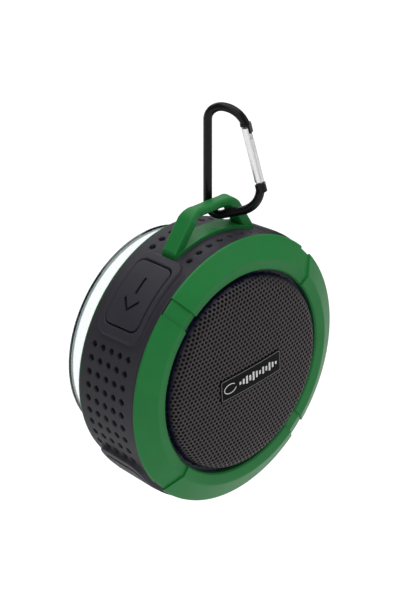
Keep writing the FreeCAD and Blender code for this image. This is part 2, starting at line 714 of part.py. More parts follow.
def rear_cover():
    """Cover with a spigot into the housing and a boss for the threaded insert."""
    plate = turned([(0, -15.9), (6.5, -15.9), (6.5, -11.05), (33.0, -11.05), (33.0, -13.0),
                    (36.3, -13.0), (36.3, -12.6), (35.3, -12.6), (35.3, -11.6), (36.3, -11.6),
                    (36.3, -11.0), (36.65, -11.0), (36.65, -10.15), (37.4, -10.15), (37.4, -9.2),
                    (36.4, COVER_BACK_Y), (0, COVER_BACK_Y)])
    tools = [drum(INSERT_R + FIT, INSERT_FRONT_Y - 0.1, COVER_BACK_Y + 1)]
    for angle in COLUMN_ANGLES:
        x, z = spot(COLUMN_R, angle)
        tools.append(drum(SCREW_R + 0.15, -14, -8, x, z))
        tools.append(drum(2.2, REAR_SCREW_Y, -8, x, z))
    return plate.cut(Part.makeCompound(tools))


def cup_stud():
    """Threaded stud of the suction cup with the flange that is bedded in the cup."""
    return joined([drum(STUD_R, -14.6, -6.3), drum(STUD_FLANGE_R, CUP_FRONT_Y, -6.2)])


def suction_cup():
    """Clear flexible cup, hollow towards the wall."""
    cup = turned([(0, CUP_FRONT_Y), (9.0, CUP_FRONT_Y), (10.6, -6.85), (14.0, -6.35),
                  (24.5, -4.3, 32.5, -1.6), (CUP_RIM_R - 0.2, -1.2), (CUP_RIM_R, -0.5),
                  (CUP_RIM_R - 0.1, 0.0),
                  (32.4, 0.0), (31.9, -0.3), (22.0, -3.35, 9.5, -5.0), (0, -5.4)])
    return cup.cut(drum(STUD_FLANGE_R + FIT, CUP_FRONT_Y - 1, -6.15))


# ---------------------------------------------------------------- hang loop

def loop_section(x, z, slope, w, t, corner):
    """Rounded rectangle across the arch: half width w along Y, half thickness t in the arch's plane."""
    out = V(math.sin(slope), 0, math.cos(slope))
    centre = V(x, BAR_Y, z)
    k = corner * (1 - math.sqrt(0.5))
    points = [(-w + corner, -t), (w - corner, -t), (w - k, -t + k, w, -t + corner),
              (w, t - corner), (w - k, t - k, w - corner, t), (-w + corner, t),
              (-w + k, t - k, -w, t - corner), (-w, -t + corner), (-w + k, -t + k, -w + corner, -t)]
    return wire_through(points, lambda u, v: centre + V(0, u, 0) + out * v)


def loop_arch():
    """Two slanted straight legs, and a rounder, narrower bar between two bends."""
    stations = []
    for step in range(-1, LOOP_BEND_STEPS + 1):
        share = (LOOP_BEND_STEPS - max(step, 0)) / LOOP_BEND_STEPS
        slope = math.radians(LOOP_LEAN_DEG * share)
        below = LOOP_LEG if step < 0 else 0.0
        x = LOOP_FLAT + LOOP_BEND * math.sin(slope) + below * math.cos(slope)
        z = BAR_Z - LOOP_BEND * (1 - math.cos(slope)) - below * math.sin(slope)
        w = LOOP_BAR_HALF + (LOOP_FOOT_HALF - LOOP_BAR_HALF) * share
        t = LOOP_BAR_THICK + (LOOP_LEG_THICK - LOOP_BAR_THICK) * share
        corner = LOOP_BAR_CORNER + (LOOP_LEG_CORNER - LOOP_BAR_CORNER) * share
        stations.append((x, z, slope, w, t, corner))
    mirrored = [(-x, z, -slope, w, t, corner) for x, z, slope, w, t, corner in reversed(stations)]
    sections = [loop_section(*station) for station in stations + mirrored]
    return Part.makeLoft(sections, True, True)


def hang_loop():
    """Arch on an island that stands through the rubber on the housing."""
    island = loop_island().common(drum(ISLAND_TOP_R, -40, -10))
    beyond = [box(ISLAND_HALF, 30, -40, -10, 20, 60), box(-30, -ISLAND_HALF, -40, -10, 20, 60)]
    body = joined([loop_arch().cut(beyond), island])
    body = body.cut(taper(-SLEEVE_WALL - FIT + 0.03, -37, -10))
    depth = LOOP_SCREW_TIP_Z + 0.15 - 30
    holes = [Part.makeCylinder(LOOP_SCREW_R + FIT, depth, V(x, BAR_Y, 30))
             for x in (-LOOP_SCREW_X, LOOP_SCREW_X)]
    return body.cut(holes)


# ---------------------------------------------------------------- snap hook

def hook_placed(shape):
    """Move a shape from the hook's own plane (X across, Z up) to its place in the loop."""
    turn = FreeCAD.Rotation(V(0, 1, 0), HOOK_LEAN).multiply(FreeCAD.Rotation(V(0, 0, 1), HOOK_YAW))
    return shape.transformed(FreeCAD.Placement(HOOK_BASE, turn).toMatrix())


def gate_point(along, outward):
    """Point in the hook's plane, measured from the pivot along the gate and outward from it."""
    reach = math.dist(HOOK_PIVOT, GATE_TIP)
    dx = (GATE_TIP[0] - HOOK_PIVOT[0]) / reach
    dz = (GATE_TIP[1] - HOOK_PIVOT[1]) / reach
    return V(HOOK_PIVOT[0] + along * dx + outward * dz, 0, HOOK_PIVOT[1] + along * dz - outward * dx)


def gate_rod(radius, start, end, outward=0.0):
    a = gate_point(start, outward)
    b = gate_point(end, outward)
    return Part.makeCylinder(radius, (b - a).Length, a, b - a)


def gate_block(along0, along1, out0, out1, half):
    """Block square to the gate, half wide each side of the hook's plane."""
    corners = [gate_point(along0, out0), gate_point(along1, out0),
               gate_point(along1, out1), gate_point(along0, out1)]
    face = Part.Face(Part.makePolygon([c - V(0, half, 0) for c in corners + corners[:1]]))
    return face.extrude(V(0, 2 * half, 0))


def plane_arc(centre, radius, start, end):
    """Arc in the hook's plane between two angles in degrees."""
    points = []
    for angle in (start, (start + end) / 2, end):
        points.append(V(centre[0] + radius * math.cos(math.radians(angle)), 0,
                        centre[1] + radius * math.sin(math.radians(angle))))
    return Part.Arc(*points).toShape()


def carabiner_frame():
    """Bent rod: nose, top bend, spine, bottom bend, lower arm, and the cup of the gate's hinge."""
    arm_slope = 20.3
    foot_r = 3.4
    heel_r = 9.0
    heel_end = -6.0
    spine_top = 78.2
    crown_z = 75.9
    crown_r = 7.5
    bend_r = crown_z + crown_r - spine_top
    foot = (foot_r, 49.3)
    heel = (8.02, 56.97)
    edges = [plane_arc((bend_r, crown_z), crown_r, 19.0, 90.0),
             plane_arc((bend_r, spine_top), bend_r, 90.0, 180.0),
             Part.LineSegment(V(0, 0, spine_top), V(0, 0, foot[1])).toShape(),
             plane_arc(foot, foot_r, 180.0, 270.0 + arm_slope)]
    arm_start = edges[-1].valueAt(edges[-1].LastParameter)
    heel_arc = plane_arc(heel, heel_r, arm_slope - 90.0, heel_end)
    arm_end = heel_arc.valueAt(heel_arc.FirstParameter)
    edges.append(Part.LineSegment(arm_start, arm_end).toShape())
    edges.append(heel_arc)
    rod = piped(edges, WIRE_R)
    rod_end = heel_arc.valueAt(heel_arc.LastParameter)
    up = V(-math.sin(math.radians(heel_end)), 0, math.cos(math.radians(heel_end)))
    neck = Part.makeCylinder(WIRE_R, 1.6, rod_end, up)
    cup = gate_rod(HINGE_CUP_R, -1.7, 1.0)
    lip = gate_block(18.3, 21.6, 0.95, 1.65, 0.95)
    collar = gate_rod(1.7, 20.75, 21.6)
    body = joined([rod, neck, cup, lip, collar])
    slot = gate_block(-1.25, 2.0, -4.0, 1.2, 0.72)
    bore = Part.makeCylinder(PIN_R + 0.01, 6, V(HOOK_PIVOT[0], -3, HOOK_PIVOT[1]), V(0, 1, 0))
    return hook_placed(body.cut([slot, bore]))


def carabiner_gate():
    """Round gate with a tongue on the pin, a slot for the nose and a bore for its spring."""
    barrel = gate_rod(GATE_R, 1.9, 20.2)
    tongue = gate_block(0, 2.6, -1.1, 1.1, 0.62)
    eye = Part.makeCylinder(1.1, 1.24, V(HOOK_PIVOT[0], -0.62, HOOK_PIVOT[1]), V(0, 1, 0))
    body = joined([barrel, tongue, eye])
    slot = gate_block(16.2, 21.0, 0.55, 2.0, 1.15)
    body = body.cut([slot, gate_rod(0.75, 2.6, 12.6)])
    bore = Part.makeCylinder(PIN_R + 0.06, 6, V(HOOK_PIVOT[0], -3, HOOK_PIVOT[1]), V(0, 1, 0))
    return hook_placed(body.cut(bore))


def gate_pin():
    pin = Part.makeCylinder(PIN_R, 3.3, V(HOOK_PIVOT[0], -1.65, HOOK_PIVOT[1]), V(0, 1, 0))
    return hook_placed(pin)


def gate_spring():
    return hook_placed(gate_rod(0.6, 2.8, 12.3))


# ---------------------------------------------------------------- the assembly

def main():
    save("rubber_sleeve", rubber_sleeve())
    for name in PAD_ANGLES:
        save("pad_" + name, pad(name))
        save("stem_" + name, stem(name))
    save("tact_switches", tact_switches())
    save("port_cover", port_cover())
    save("usb_socket", usb_socket())
    save("mid_housing", mid_housing())
    save("front_baffle", front_baffle())
    save("baffle_screws", ring_of_screws(COLUMN_ANGLES, COLUMN_R, BAFFLE_SCREW_Y, -29.6, SCREW_R, 2.05, 1.0))
    save("rear_screws", ring_of_screws(COLUMN_ANGLES, COLUMN_R, REAR_SCREW_Y, -20.0, SCREW_R, 2.1, 1.3))
    save("board_screws", ring_of_screws(POST_ANGLES, POST_R, -17.25, -24.0, BOARD_SCREW_R, 1.8, 1.0))
    save("loop_screws", loop_screws())
    save("front_seal", ring(37.45, 38.5, -35.95, -35.15))
    save("rear_seal", ring(35.35, 36.6, -12.55, -11.65))
    save("front_bezel", front_bezel())
    save("grille", grille())
    save("grille_lining", grille_lining())
    save("badge", badge())
    save("driver_gasket", ring(23.3, DRIVER_R, -37.75, -37.45))
    save("driver_basket", driver_basket())
    save("driver_top_plate", ring(PLATE_HOLE_R, PLATE_R, PLATE_FRONT_Y + FIT, MAGNET_FRONT_Y))
    save("driver_magnet", ring(8.5, 15.5, MAGNET_FRONT_Y + FIT, MAGNET_REAR_Y))
    save("driver_yoke", driver_yoke())
    save("cone", cone())
    save("surround", surround())
    save("spider", spider())
    save("voice_coil", voice_coil())
    save("dust_cap", dust_cap())
    save("microphone", drum(2.0, -40.0, BAFFLE_FRONT_Y - SOLDER_GAP, *spot(28.6, 300)))
    save("status_led", round_block(-1.5, 1.5, -39.5, BAFFLE_FRONT_Y - SOLDER_GAP, -29.4, -27.8, 0.2))
    save("main_board", main_board())
    save("board_components", board_components())
    save("bluetooth_module", bluetooth_module())
    save("speaker_leads", speaker_leads())
    save("battery_cell", round_block(-18, 18, -16.8, -11.8, 9.5, 27.5, 1.0))
    save("battery_foam", box(-15, 15, -11.75, -11.1, 11, 26))
    save("battery_leads", battery_leads())
    save("rear_ring", rear_ring())
    save("rear_cover", rear_cover())
    save("threaded_insert", ring(THREAD_R, INSERT_R, INSERT_FRONT_Y, -8.8))
    save("cup_washer", ring(THREAD_R, 7.5, COVER_BACK_Y + FIT, CUP_FRONT_Y - FIT))
    save("cup_stud", cup_stud())
    save("suction_cup", suction_cup())
    save("hang_loop", hang_loop())
    save("carabiner_frame", carabiner_frame())
    save("carabiner_gate", carabiner_gate())
    save("gate_pin", gate_pin())
    save("gate_spring", gate_spring())


main()
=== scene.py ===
"""Looks of the shower speaker: studio, finishes, perforated grille, moulded sleeve and name plate."""
import json
import math

import bpy
import numpy as np
from mathutils import Matrix, Vector


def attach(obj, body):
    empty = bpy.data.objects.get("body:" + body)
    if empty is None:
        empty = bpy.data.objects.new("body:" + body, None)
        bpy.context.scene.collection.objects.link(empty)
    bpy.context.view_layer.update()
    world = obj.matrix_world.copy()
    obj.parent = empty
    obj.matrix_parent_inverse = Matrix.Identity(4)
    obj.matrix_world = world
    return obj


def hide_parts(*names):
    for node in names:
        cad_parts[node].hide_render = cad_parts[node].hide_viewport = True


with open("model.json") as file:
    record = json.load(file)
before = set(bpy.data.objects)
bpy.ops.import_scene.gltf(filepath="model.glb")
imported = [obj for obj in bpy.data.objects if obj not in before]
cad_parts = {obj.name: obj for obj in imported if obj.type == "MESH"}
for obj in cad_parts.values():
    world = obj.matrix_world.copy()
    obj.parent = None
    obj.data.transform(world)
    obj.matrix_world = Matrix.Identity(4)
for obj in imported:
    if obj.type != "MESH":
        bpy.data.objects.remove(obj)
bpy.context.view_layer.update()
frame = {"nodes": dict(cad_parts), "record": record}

MM = 0.001
NODES = frame["nodes"]
SLOTS = {part["node"]: part["material_slot"] for part in frame["record"]["subparts"]}

# Ends of the rubber band, in millimetres: Y of its rear and front, and its outer radius there.
SLEEVE_REAR = -11.1
SLEEVE_FRONT = -36.3
SLEEVE_REAR_R = 40.6
SLEEVE_FRONT_R = 42.7


# ---------------------------------------------------------------- camera, floor and light

VIEW_AZIMUTH = math.radians(-47.3)
VIEW_ELEVATION = math.radians(25.75)
VIEW_ROLL = math.radians(2.85)
VIEW_DISTANCE = 3.6
FRAME_WIDTH = 123.75 * MM            # width of the picture at the object's depth
VIEW_CENTRE = Vector((0, -22.8 * MM, 0))
AIM_RIGHT = 0.66 * MM
AIM_UP = 15.9 * MM
SENSOR = 36.0
CLIP_NEAR = 0.01
CLIP_FAR = 50

WORLD_STRENGTH = 0.24
LIGHTS = (                           # name, place in metres, size in metres, power in watts
    ("overhead", (0.1, -0.1, 1.3), (1.6, 1.6), 22),
    ("front_left", (-1.2, -0.9, 0.7), (0.9, 1.2), 6),
    ("front_right", (0.9, -1.3, 0.5), (0.5, 1.2), 3.5),
    ("behind", (0.6, 1.3, 0.8), (1.4, 0.8), 9),
)
FLOOR_Z = -0.16
FLOOR_SIZE = 14
FLOOR_WHITE = (0.96, 0.96, 0.96)


def view_axes():
    """Right, up and back of the camera, as unit vectors."""
    back = Vector((math.sin(VIEW_AZIMUTH) * math.cos(VIEW_ELEVATION),
                   -math.cos(VIEW_AZIMUTH) * math.cos(VIEW_ELEVATION), math.sin(VIEW_ELEVATION)))
    level = Vector((math.cos(VIEW_AZIMUTH), math.sin(VIEW_AZIMUTH), 0))
    upright = back.cross(level)
    right = level * math.cos(VIEW_ROLL) + upright * math.sin(VIEW_ROLL)
    return right, back.cross(right), back


def add_camera():
    right, up, back = view_axes()
    data = bpy.data.cameras.new("camera")
    data.sensor_fit = "HORIZONTAL"
    data.sensor_width = SENSOR
    data.lens = SENSOR * VIEW_DISTANCE / FRAME_WIDTH
    data.clip_start = CLIP_NEAR
    data.clip_end = CLIP_FAR
    camera = bpy.data.objects.new("camera", data)
    bpy.context.scene.collection.objects.link(camera)
    place = VIEW_CENTRE + right * AIM_RIGHT + up * AIM_UP + back * VIEW_DISTANCE
    turn = Matrix((right, up, back)).transposed().to_4x4()
    camera.matrix_world = Matrix.Translation(place) @ turn
    bpy.context.scene.camera = camera


def add_light(name, place, size, power):
    """White area light that points at the origin."""
    data = bpy.data.lights.new(name, "AREA")
    data.shape = "RECTANGLE"
    data.size, data.size_y = size
    data.energy = power
    light = bpy.data.objects.new(name, data)
    bpy.context.scene.collection.objects.link(light)
    light.location = place
    light.rotation_euler = (-Vector(place)).to_track_quat("-Z", "Y").to_euler()


def add_studio():
    bpy.context.scene.view_settings.view_transform = "Standard"
    world = bpy.data.worlds.new("studio")
    bpy.context.scene.world = world
    world.use_nodes = True
    world.node_tree.nodes["Background"].inputs["Color"].default_value = (1, 1, 1, 1)
    world.node_tree.nodes["Background"].inputs["Strength"].default_value = WORLD_STRENGTH
    for light in LIGHTS:
        add_light(*light)

    bpy.ops.mesh.primitive_plane_add(size=FLOOR_SIZE, location=(0, 0, FLOOR_Z))
    floor = bpy.context.object
    floor.name = "studio_floor"
    paint = finish("studio_floor", FLOOR_WHITE, 0.8, grain=4.0, relief=0.0, vary=0.01)
    floor.data.materials.append(paint)


# ---------------------------------------------------------------- finishes

GREEN = (0.009, 0.142, 0.030)
RUBBER = (0.022, 0.021, 0.028)
# painted shade: black given to rubber that lies deep in dimples, openings and gaps
SUNK_RUBBER = (0.003, 0.003, 0.004)
PATCH_SIZE = 9.0                     # millimetres across the broad shade patches of a finish

# The rubber's outer face is a cone: its radius at Y 0 and its change of radius along Y.
CONE_SLOPE = (SLEEVE_FRONT_R - SLEEVE_REAR_R) / (SLEEVE_FRONT - SLEEVE_REAR)
SLEEVE_CONE_R = SLEEVE_REAR_R - CONE_SLOPE * SLEEVE_REAR
PAD_FACE_RISE = 1.65                 # of a pad's face above that cone
SLEEVE_DARK = (0.7, 0.5)             # depth from which the band is painted black as shade in dimples and openings, and width of the change
PAD_DARK = (0.56, 0.04)              # the same below a pad's face: blackens its sunk marks, and paints shade on its deep side walls in the gap
PAN_EDGE = (30.9, 31.7)              # radii over which the grille's metal turns navy black: painted shade in the gap between the pan and the front ring
CUP_RIM = (33.1, 33.5)               # radii over which the clear cup is painted darker, standing in for the dark edge line that refraction draws at the rim


def put(socket, value):
    socket.default_value = value


def noise(tree, coords, size, detail):
    """Noise whose features are about size millimetres across."""
    node = tree.nodes.new("ShaderNodeTexNoise")
    put(node.inputs["Scale"], 1.0 / (size * MM))
    put(node.inputs["Detail"], detail)
    tree.links.new(coords, node.inputs["Vector"])
    return node.outputs["Fac"]


def between(tree, factor, low, high):
    """Number from low to high as factor goes over the middle of its range."""
    node = tree.nodes.new("ShaderNodeMapRange")
    put(node.inputs["From Min"], 0.3)
    put(node.inputs["From Max"], 0.7)
    put(node.inputs["To Min"], low)
    put(node.inputs["To Max"], high)
    tree.links.new(factor, node.inputs["Value"])
    return node.outputs["Result"]


def shades(tree, factor, dark, light):
    """Colour from dark to light as factor goes over the middle of its range."""
    ramp = tree.nodes.new("ShaderNodeValToRGB")
    ramp.color_ramp.elements[0].position = 0.3
    ramp.color_ramp.elements[0].color = (*dark, 1)
    ramp.color_ramp.elements[1].position = 0.7
    ramp.color_ramp.elements[1].color = (*light, 1)
    tree.links.new(factor, ramp.inputs["Fac"])
    return ramp.outputs["Color"]


def raised(tree, height, depth, strength=1.0):
    """Bump of depth millimetres."""
    node = tree.nodes.new("ShaderNodeBump")
    put(node.inputs["Strength"], strength)
    put(node.inputs["Distance"], depth * MM)
    tree.links.new(height, node.inputs["Height"])
    return node.outputs["Normal"]


def finish(name, colour, rough, metal=0.0, grain=0.35, relief=0.02, vary=0.10, **fixed):
    """Noise-based finish: broad shade patches, fine grain in the relief, and uneven gloss."""
    made = bpy.data.materials.new(name)
    made.use_nodes = True
    tree = made.node_tree
    shader = tree.nodes["Principled BSDF"]
    coords = tree.nodes.new("ShaderNodeTexCoord").outputs["Object"]
    broad = noise(tree, coords, PATCH_SIZE, 4.0)
    fine = noise(tree, coords, grain, 2.0)
    dark = [c * (1 - vary) for c in colour]
    light = [min(1.0, c * (1 + vary)) for c in colour]
    tree.links.new(shades(tree, broad, dark, light), shader.inputs["Base Color"])
    tree.links.new(between(tree, fine, rough - 0.05, rough + 0.05), shader.inputs["Roughness"])
    if relief:
        tree.links.new(raised(tree, fine, relief), shader.inputs["Normal"])
    put(shader.inputs["Metallic"], metal)
    for socket, value in fixed.items():
        put(shader.inputs[socket.replace("_", " ")], value)
    return made


def from_axis(tree):
    """Distance from the drum's axis and place along it, both in metres."""
    coords = tree.nodes.new("ShaderNodeTexCoord").outputs["Object"]
    parts = tree.nodes.new("ShaderNodeSeparateXYZ")
    tree.links.new(coords, parts.inputs["Vector"])
    flat = tree.nodes.new("ShaderNodeCombineXYZ")
    tree.links.new(parts.outputs["X"], flat.inputs["X"])
    tree.links.new(parts.outputs["Z"], flat.inputs["Z"])
    length = tree.nodes.new("ShaderNodeVectorMath")
    length.operation = "LENGTH"
    tree.links.new(flat.outputs["Vector"], length.inputs[0])
    return length.outputs["Value"], parts.outputs["Y"]


def linear(tree, value, factor, offset):
    node = tree.nodes.new("ShaderNodeMath")
    node.operation = "MULTIPLY_ADD"
    tree.links.new(value, node.inputs[0])
    put(node.inputs[1], factor)
    put(node.inputs[2], offset)
    return node.outputs["Value"]


def step_up(tree, value, low, high):
    """0 below low and 1 above high."""
    node = tree.nodes.new("ShaderNodeMapRange")
    put(node.inputs["From Min"], low)
    put(node.inputs["From Max"], high)
    tree.links.new(value, node.inputs["Value"])
    return node.outputs["Result"]


def tinted(made, mask, colour):
    """Mix a colour into a finish where the mask is 1."""
    tree = made.node_tree
    socket = tree.nodes["Principled BSDF"].inputs["Base Color"]
    base = socket.links[0].from_socket
    mix = tree.nodes.new("ShaderNodeMix")
    mix.data_type = "RGBA"
    tree.links.new(mask, mix.inputs[0])
    tree.links.new(base, mix.inputs[6])
    put(mix.inputs[7], (*colour, 1))
    tree.links.new(mix.outputs[2], socket)
    return made


def sunk_dark_rubber(name, face_r, depth, blur):
    """Rubber that is black where it lies deeper than depth below a coned face of radius face_r at Y 0; the
    black is painted shade at the foot of dimples, openings and gaps.
    """
    made = finish(name, RUBBER, 0.60, grain=0.22, relief=0.018, vary=0.08, Specular_IOR_Level=0.20)
    tree = made.node_tree
    radius, along = from_axis(tree)
    crown = linear(tree, along, CONE_SLOPE, face_r * MM)
    below = tree.nodes.new("ShaderNodeMath")
    below.operation = "SUBTRACT"
    tree.links.new(crown, below.inputs[0])
    tree.links.new(radius, below.inputs[1])
    mask = step_up(tree, below.outputs["Value"], (depth - blur) * MM, depth * MM)
    # paint the deep rubber black as shade
    return tinted(made, mask, SUNK_RUBBER)


def grille_metal_with_rim_shade():
    """Painted sheet metal; the side wall and flange of the pan are painted navy black as shade in the gap
    inside the front ring.
    """
    made = finish("grille_metal", (0.040, 0.034, 0.038), 0.45, grain=0.12, relief=0.01, vary=0.07,
                  Specular_IOR_Level=0.20)
    radius, _ = from_axis(made.node_tree)
    mask = step_up(made.node_tree, radius, PAN_EDGE[0] * MM, PAN_EDGE[1] * MM)
    # navy black painted as shade in the gap inside the front ring
    return tinted(made, mask, (0.002, 0.003, 0.014))


def clear_vinyl():
    """See-through flexible vinyl with faint flow marks and a painted dark rim, standing in for the dark edge
    line that refraction draws at the thick rim.
    """
    made = finish("clear_vinyl", (0.86, 0.89, 0.89), 0.08, grain=3.0, relief=0.03, vary=0.01,
                  Transmission_Weight=1.0, IOR=1.43)
    radius, _ = from_axis(made.node_tree)
    mask = step_up(made.node_tree, radius, CUP_RIM[0] * MM, CUP_RIM[1] * MM)
    # painted darker rim in place of refraction's dark edge line
    return tinted(made, mask, (0.06, 0.09, 0.09))


def brushed(name, colour, rough, along, grain=0.12):
    """Metal drawn lengthwise: fine lines across one axis."""
    made = bpy.data.materials.new(name)
    made.use_nodes = True
    tree = made.node_tree
    shader = tree.nodes["Principled BSDF"]
    coords = tree.nodes.new("ShaderNodeTexCoord").outputs["Object"]
    stretch = tree.nodes.new("ShaderNodeMapping")
    put(stretch.inputs["Scale"], along)
    tree.links.new(coords, stretch.inputs["Vector"])
    lines = noise(tree, stretch.outputs["Vector"], grain, 2.0)
    dark = [c * 0.88 for c in colour]
    tree.links.new(shades(tree, lines, dark, colour), shader.inputs["Base Color"])
    tree.links.new(between(tree, lines, rough - 0.06, rough + 0.06), shader.inputs["Roughness"])
    tree.links.new(raised(tree, lines, 0.01, 0.5), shader.inputs["Normal"])
    put(shader.inputs["Metallic"], 1.0)
    return made


def woven(name, colour, pitch, relief):
    """Plain weave: two crossed sets of threads."""
    made = bpy.data.materials.new(name)
    made.use_nodes = True
    tree = made.node_tree
    shader = tree.nodes["Principled BSDF"]
    coords = tree.nodes.new("ShaderNodeTexCoord").outputs["Object"]
    sets = []
    for axis in ("X", "Z"):
        wave = tree.nodes.new("ShaderNodeTexWave")
        wave.bands_direction = axis
        put(wave.inputs["Scale"], 1.0 / (pitch * MM) / 3.2)
        tree.links.new(coords, wave.inputs["Vector"])
        sets.append(wave.outputs["Fac"])
    cross = tree.nodes.new("ShaderNodeMath")
    cross.operation = "MULTIPLY"
    tree.links.new(sets[0], cross.inputs[0])
    tree.links.new(sets[1], cross.inputs[1])
    dark = [c * 0.55 for c in colour]
    tree.links.new(shades(tree, cross.outputs["Value"], dark, colour), shader.inputs["Base Color"])
    tree.links.new(raised(tree, cross.outputs["Value"], relief), shader.inputs["Normal"])
    put(shader.inputs["Roughness"], 0.9)
    return made


def make_finishes():
    """One finish for each of the record's material slots."""
    return {
        "green_plastic": finish("green_plastic", GREEN, 0.48, grain=0.30, relief=0.006, vary=0.05,
                                Specular_IOR_Level=0.20),
        "grille_metal": grille_metal_with_rim_shade(),
        "lining_cloth": woven("lining_cloth", (0.006, 0.006, 0.007), 0.25, 0.05),
        "badge_gloss": finish("badge_gloss", (0.002, 0.002, 0.002), 0.22, grain=2.0, relief=0.002,
                              Specular_IOR_Level=0.04),
        "rubber": sunk_dark_rubber("rubber", SLEEVE_CONE_R, *SLEEVE_DARK),
        "soft_rubber": finish("soft_rubber", (0.02, 0.02, 0.02), 0.65),
        "washer_rubber": finish("washer_rubber", (0.7, 0.7, 0.7), 0.55, vary=0.03),
        "black_plastic": finish("black_plastic", (0.017, 0.017, 0.019), 0.5, grain=0.25, relief=0.015),
        "switch_plastic": finish("switch_plastic", (0.03, 0.03, 0.03), 0.45),
        "pressed_steel": finish("pressed_steel", (0.03, 0.03, 0.032), 0.4, metal=0.5),
        "zinc_steel": brushed("zinc_steel", (0.56, 0.56, 0.58), 0.34, (1, 0.1, 1)),
        "magnet": finish("magnet", (0.12, 0.12, 0.13), 0.6, metal=0.4, grain=0.15, relief=0.03),
        "foam": finish("foam", (0.04, 0.04, 0.04), 0.95, grain=0.5, relief=0.2, vary=0.3),
        "cone_paper": finish("cone_paper", (0.03, 0.03, 0.03), 0.85, grain=0.4, relief=0.05, vary=0.2),
        "spider_cloth": woven("spider_cloth", (0.45, 0.30, 0.12), 0.5, 0.1),
        "copper_coil": brushed("copper_coil", (0.72, 0.36, 0.18), 0.3, (0.05, 1, 0.05)),
        "brass": brushed("brass", (0.78, 0.56, 0.26), 0.28, (1, 0.1, 1)),
        "clear_vinyl": clear_vinyl(),
        "screw_steel": brushed("screw_steel", (0.30, 0.30, 0.31), 0.35, (1, 0.2, 1)),
        "nickel_steel": brushed("nickel_steel", (0.62, 0.62, 0.60), 0.3, (1, 0.2, 1)),
        "spring_steel": brushed("spring_steel", (0.5, 0.5, 0.5), 0.3, (1, 1, 0.1)),
        "board_green": finish("board_green", (0.015, 0.12, 0.045), 0.3, grain=0.8, relief=0.01, vary=0.25),
        "chip_black": finish("chip_black", (0.03, 0.03, 0.03), 0.6),
        "module_blue": finish("module_blue", (0.03, 0.08, 0.25), 0.3, vary=0.2),
        "cell_foil": brushed("cell_foil", (0.55, 0.56, 0.58), 0.35, (0.3, 1, 1), grain=1.2),
        "lead_red": finish("lead_red", (0.5, 0.03, 0.03), 0.35),
        "lead_black": finish("lead_black", (0.03, 0.03, 0.03), 0.35),
        "led_lens": finish("led_lens", (0.75, 0.8, 0.85), 0.25),
        "black_anodised": finish("black_anodised", (0.004, 0.004, 0.005), 0.22, grain=0.1, relief=0.002,
                                 Specular_IOR_Level=0.16),
        "bright_aluminium": brushed("bright_aluminium", (0.80, 0.80, 0.81), 0.30, (1, 1, 0.08)),
    }


def dress_cad_nodes(finishes):
    for name, node in NODES.items():
        node.data.materials.clear()
        node.data.materials.append(finishes[SLOTS[name]])


# ---------------------------------------------------------------- mesh helpers

def add_piece(name, points, faces, material, body, smooth=True):
    mesh = bpy.data.meshes.new(name)
    mesh.from_pydata(points, [], faces)
    mesh.validate()
    if smooth:
        mesh.shade_smooth()
    piece = bpy.data.objects.new(name, mesh)
    bpy.context.scene.collection.objects.link(piece)
    mesh.materials.append(material)
    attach(piece, body)
    return piece


# ---------------------------------------------------------------- perforated grille

HOLE_PITCH = 1.5
HOLE_R = 0.56
HOLE_SIDES = 12
SIDE_TURN = 360 / HOLE_SIDES
ROW_SHARE = math.sqrt(0.75)          # distance between rows of holes, as a share of the pitch
GRILLE_WALL = 0.6
DOME_TOP = -45.3
DOME_EDGE = (28.0, -43.6)
SHOULDER_MID = (30.75, -42.45)
SIDE_TOP = (31.8, -40.2)
SIDE_FOOT = -39.32
FLANGE_R = 35.4
DOME_STEPS = 40
SHOULDER_STEPS = 12
SHEET_REACH = 36.8                  # distance from the centre, along the sheet, of the last cells
HOLES_TO = 32.6                      # distance from the centre, along the sheet, that is perforated
PATTERN_TURN = math.radians(7.0)


def arc_points(start, middle, end, count):
    """Points along the circle through three points in a plane."""
    ax, ay = start
    bx, by = middle
    cx, cy = end
    d = 2 * (ax * (by - cy) + bx * (cy - ay) + cx * (ay - by))
    a2, b2, c2 = ax * ax + ay * ay, bx * bx + by * by, cx * cx + cy * cy
    ux = (a2 * (by - cy) + b2 * (cy - ay) + c2 * (ay - by)) / d
    uy = (a2 * (cx - bx) + b2 * (ax - cx) + c2 * (bx - ax)) / d
    radius = math.dist((ux, uy), start)
    first = math.atan2(ay - uy, ax - ux)
    sweep = math.atan2(cy - uy, cx - ux) - first
    sweep = (sweep + math.pi) % (2 * math.pi) - math.pi
    return [(ux + radius * math.cos(first + sweep * i / count),
             uy + radius * math.sin(first + sweep * i / count)) for i in range(count + 1)]


def sheet_profile():
    """Section of the grille's outer face from the centre to the flange, as (radius, y) in millimetres."""
    edge_r, edge_y = DOME_EDGE
    rise = edge_y - DOME_TOP
    ball = (edge_r ** 2 + rise ** 2) / (2 * rise)
    dome = [(r, DOME_TOP + ball - math.sqrt(ball ** 2 - r ** 2))
            for r in (edge_r * i / DOME_STEPS for i in range(DOME_STEPS))]
    shoulder = arc_points(DOME_EDGE, SHOULDER_MID, SIDE_TOP, SHOULDER_STEPS)
    return dome + shoulder + [(SIDE_TOP[0], SIDE_FOOT), (FLANGE_R, SIDE_FOOT)]


class Sheet:
    """Bends a flat sheet over the grille's section: distance from the centre runs along the section."""

    def __init__(self):
        self.line = sheet_profile()
        self.along = [0.0]
        for a, b in zip(self.line, self.line[1:]):
            self.along.append(self.along[-1] + math.dist(a, b))

    def at(self, x, z, depth):
        """Point of the bent sheet, depth millimetres below its face, in metres."""
        distance = min(math.hypot(x, z), self.along[-1] - 1e-6)
        index = next(i for i, a in enumerate(self.along) if a > distance) - 1
        a, b = self.line[index], self.line[index + 1]
        length = self.along[index + 1] - self.along[index]
        share = (distance - self.along[index]) / length
        tangent = ((b[0] - a[0]) / length, (b[1] - a[1]) / length)
        radius = a[0] + (b[0] - a[0]) * share - tangent[1] * depth
        y = a[1] + (b[1] - a[1]) * share + tangent[0] * depth
        turn = math.atan2(z, x)
        return (radius * math.cos(turn) * MM, y * MM, radius * math.sin(turn) * MM)


